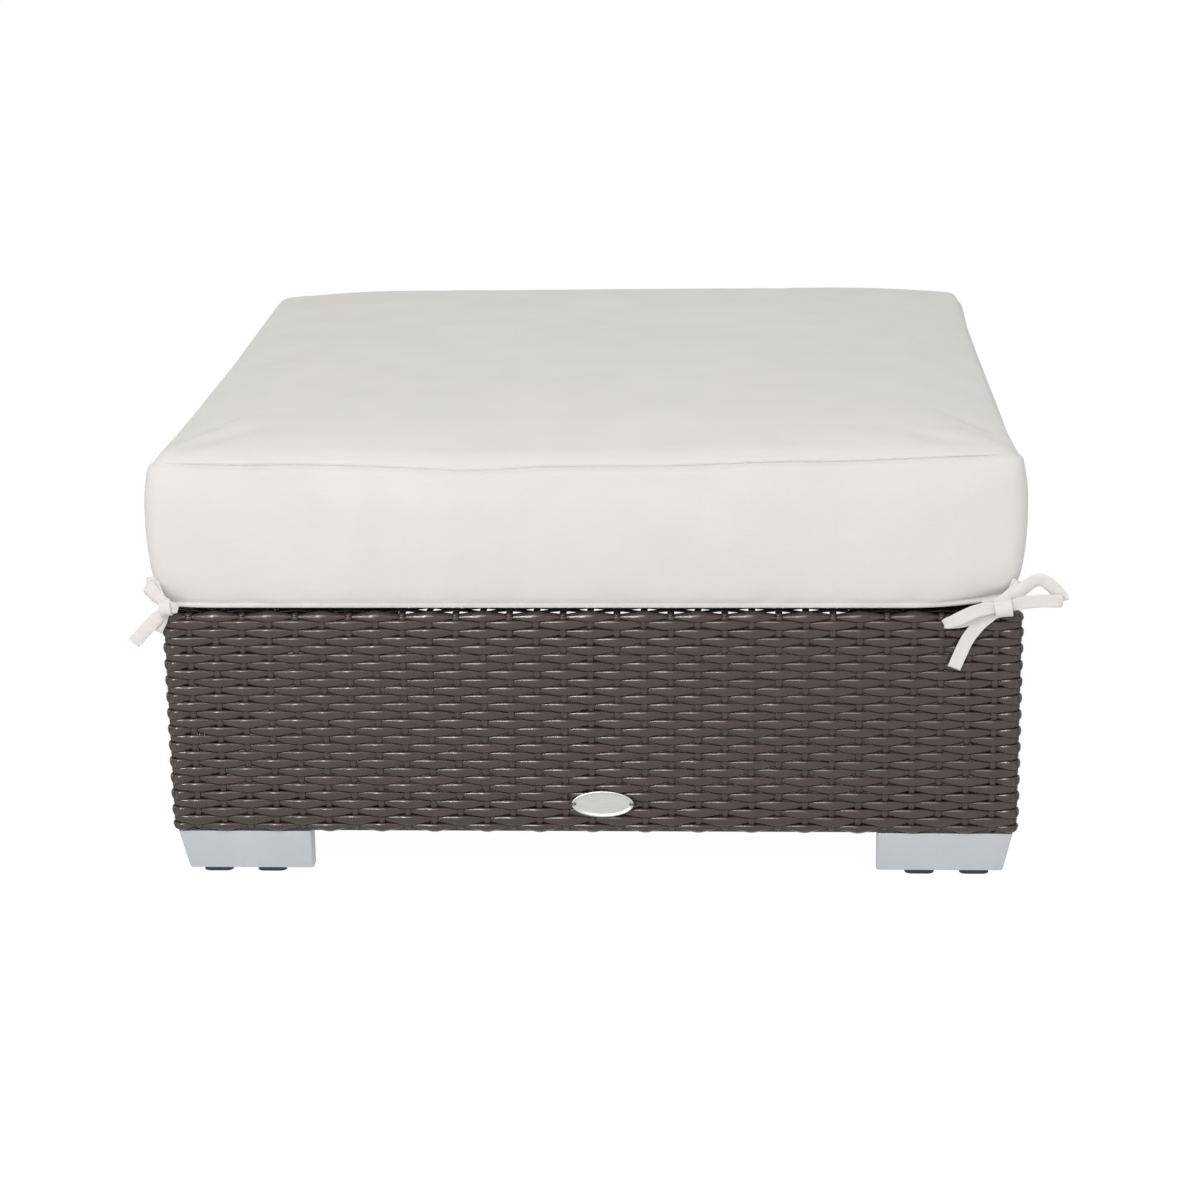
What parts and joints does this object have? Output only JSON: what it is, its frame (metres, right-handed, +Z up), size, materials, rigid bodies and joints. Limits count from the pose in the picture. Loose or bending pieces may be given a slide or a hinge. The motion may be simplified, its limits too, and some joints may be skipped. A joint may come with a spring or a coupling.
{
  "type": "outdoor ottoman footstool",
  "caption": "Square woven footstool on tapered corner feet, with a thick lift-off box cushion held by fabric ties and closed by a zip.",
  "frame": {"origin": "on the ground at the middle of the footprint", "axes": "+Z up, -Y towards the front that carries the badge, +X to the right seen from the front"},
  "size_m": [0.873, 0.8322, 0.4297],
  "materials": {
    "resin_wicker": "satin",
    "frame_aluminium": "satin",
    "foot_aluminium": "satin",
    "glide_plastic": "matte",
    "bolt_steel": "satin",
    "badge_metal": "satin",
    "staple_wire": "satin",
    "cushion_fabric": "matte",
    "cushion_foam": "matte",
    "zip_tape_fabric": "matte",
    "tie_fabric": "matte",
    "zip_metal": "satin"
  },
  "bodies": {
    "base": {"bottom_rail_front": "frame_aluminium", "top_rail_front": "frame_aluminium", "upright_front": "frame_aluminium", "rim_bar_front": "frame_aluminium", "woven_front": "resin_wicker", "bottom_rail_back": "frame_aluminium", "top_rail_back": "frame_aluminium", "upright_back": "frame_aluminium", "rim_bar_back": "frame_aluminium", "woven_back": "resin_wicker", "bottom_rail_left": "frame_aluminium", "top_rail_left": "frame_aluminium", "upright_left": "frame_aluminium", "rim_bar_left": "frame_aluminium", "woven_left": "resin_wicker", "bottom_rail_right": "frame_aluminium", "top_rail_right": "frame_aluminium", "upright_right": "frame_aluminium", "rim_bar_right": "frame_aluminium", "woven_right": "resin_wicker", "deck_rail_1": "frame_aluminium", "deck_rail_2": "frame_aluminium", "deck_rail_3": "frame_aluminium", "woven_deck": "resin_wicker", "corner_post_front_left": "frame_aluminium", "corner_plate_front_left": "frame_aluminium", "foot_front_left": "foot_aluminium", "foot_bolt_front_left": "bolt_steel", "glide_front_left_1": "glide_plastic", "glide_front_left_2": "glide_plastic", "corner_post_front_right": "frame_aluminium", "corner_plate_front_right": "frame_aluminium", "foot_front_right": "foot_aluminium", "foot_bolt_front_right": "bolt_steel", "glide_front_right_1": "glide_plastic", "glide_front_right_2": "glide_plastic", "corner_post_back_left": "frame_aluminium", "corner_plate_back_left": "frame_aluminium", "foot_back_left": "foot_aluminium", "foot_bolt_back_left": "bolt_steel", "glide_back_left_1": "glide_plastic", "glide_back_left_2": "glide_plastic", "corner_post_back_right": "frame_aluminium", "corner_plate_back_right": "frame_aluminium", "foot_back_right": "foot_aluminium", "foot_bolt_back_right": "bolt_steel", "glide_back_right_1": "glide_plastic", "glide_back_right_2": "glide_plastic", "badge": "badge_metal", "badge_staple_left": "staple_wire", "badge_staple_right": "staple_wire"},
    "cushion": {"cushion_cover": "cushion_fabric", "foam_core": "cushion_foam", "zip_tape": "zip_tape_fabric", "tie_front_left": "tie_fabric", "tie_front_right": "tie_fabric", "tie_back_left": "tie_fabric", "tie_back_right": "tie_fabric"},
    "zip_slider": {"zip_slider": "zip_metal"},
    "zip_pull": {"zip_pull": "zip_metal"}
  },
  "joints": [
    {"name": "cushion_lift", "type": "slide", "parent": "base", "child": "cushion", "axis": [0, 0, 1], "range_m": [0, 0.3]},
    {"name": "zip_slide", "type": "slide", "parent": "cushion", "child": "zip_slider", "axis": [1, 0, 0], "range_m": [-0.47, 0]},
    {"name": "zip_pull_flip", "type": "hinge", "parent": "zip_slider", "child": "zip_pull", "pos_m": [0.231, 0.4148, 0.33777], "axis": [0, 0, 1], "range_deg": [-180, 0]}
  ]
}
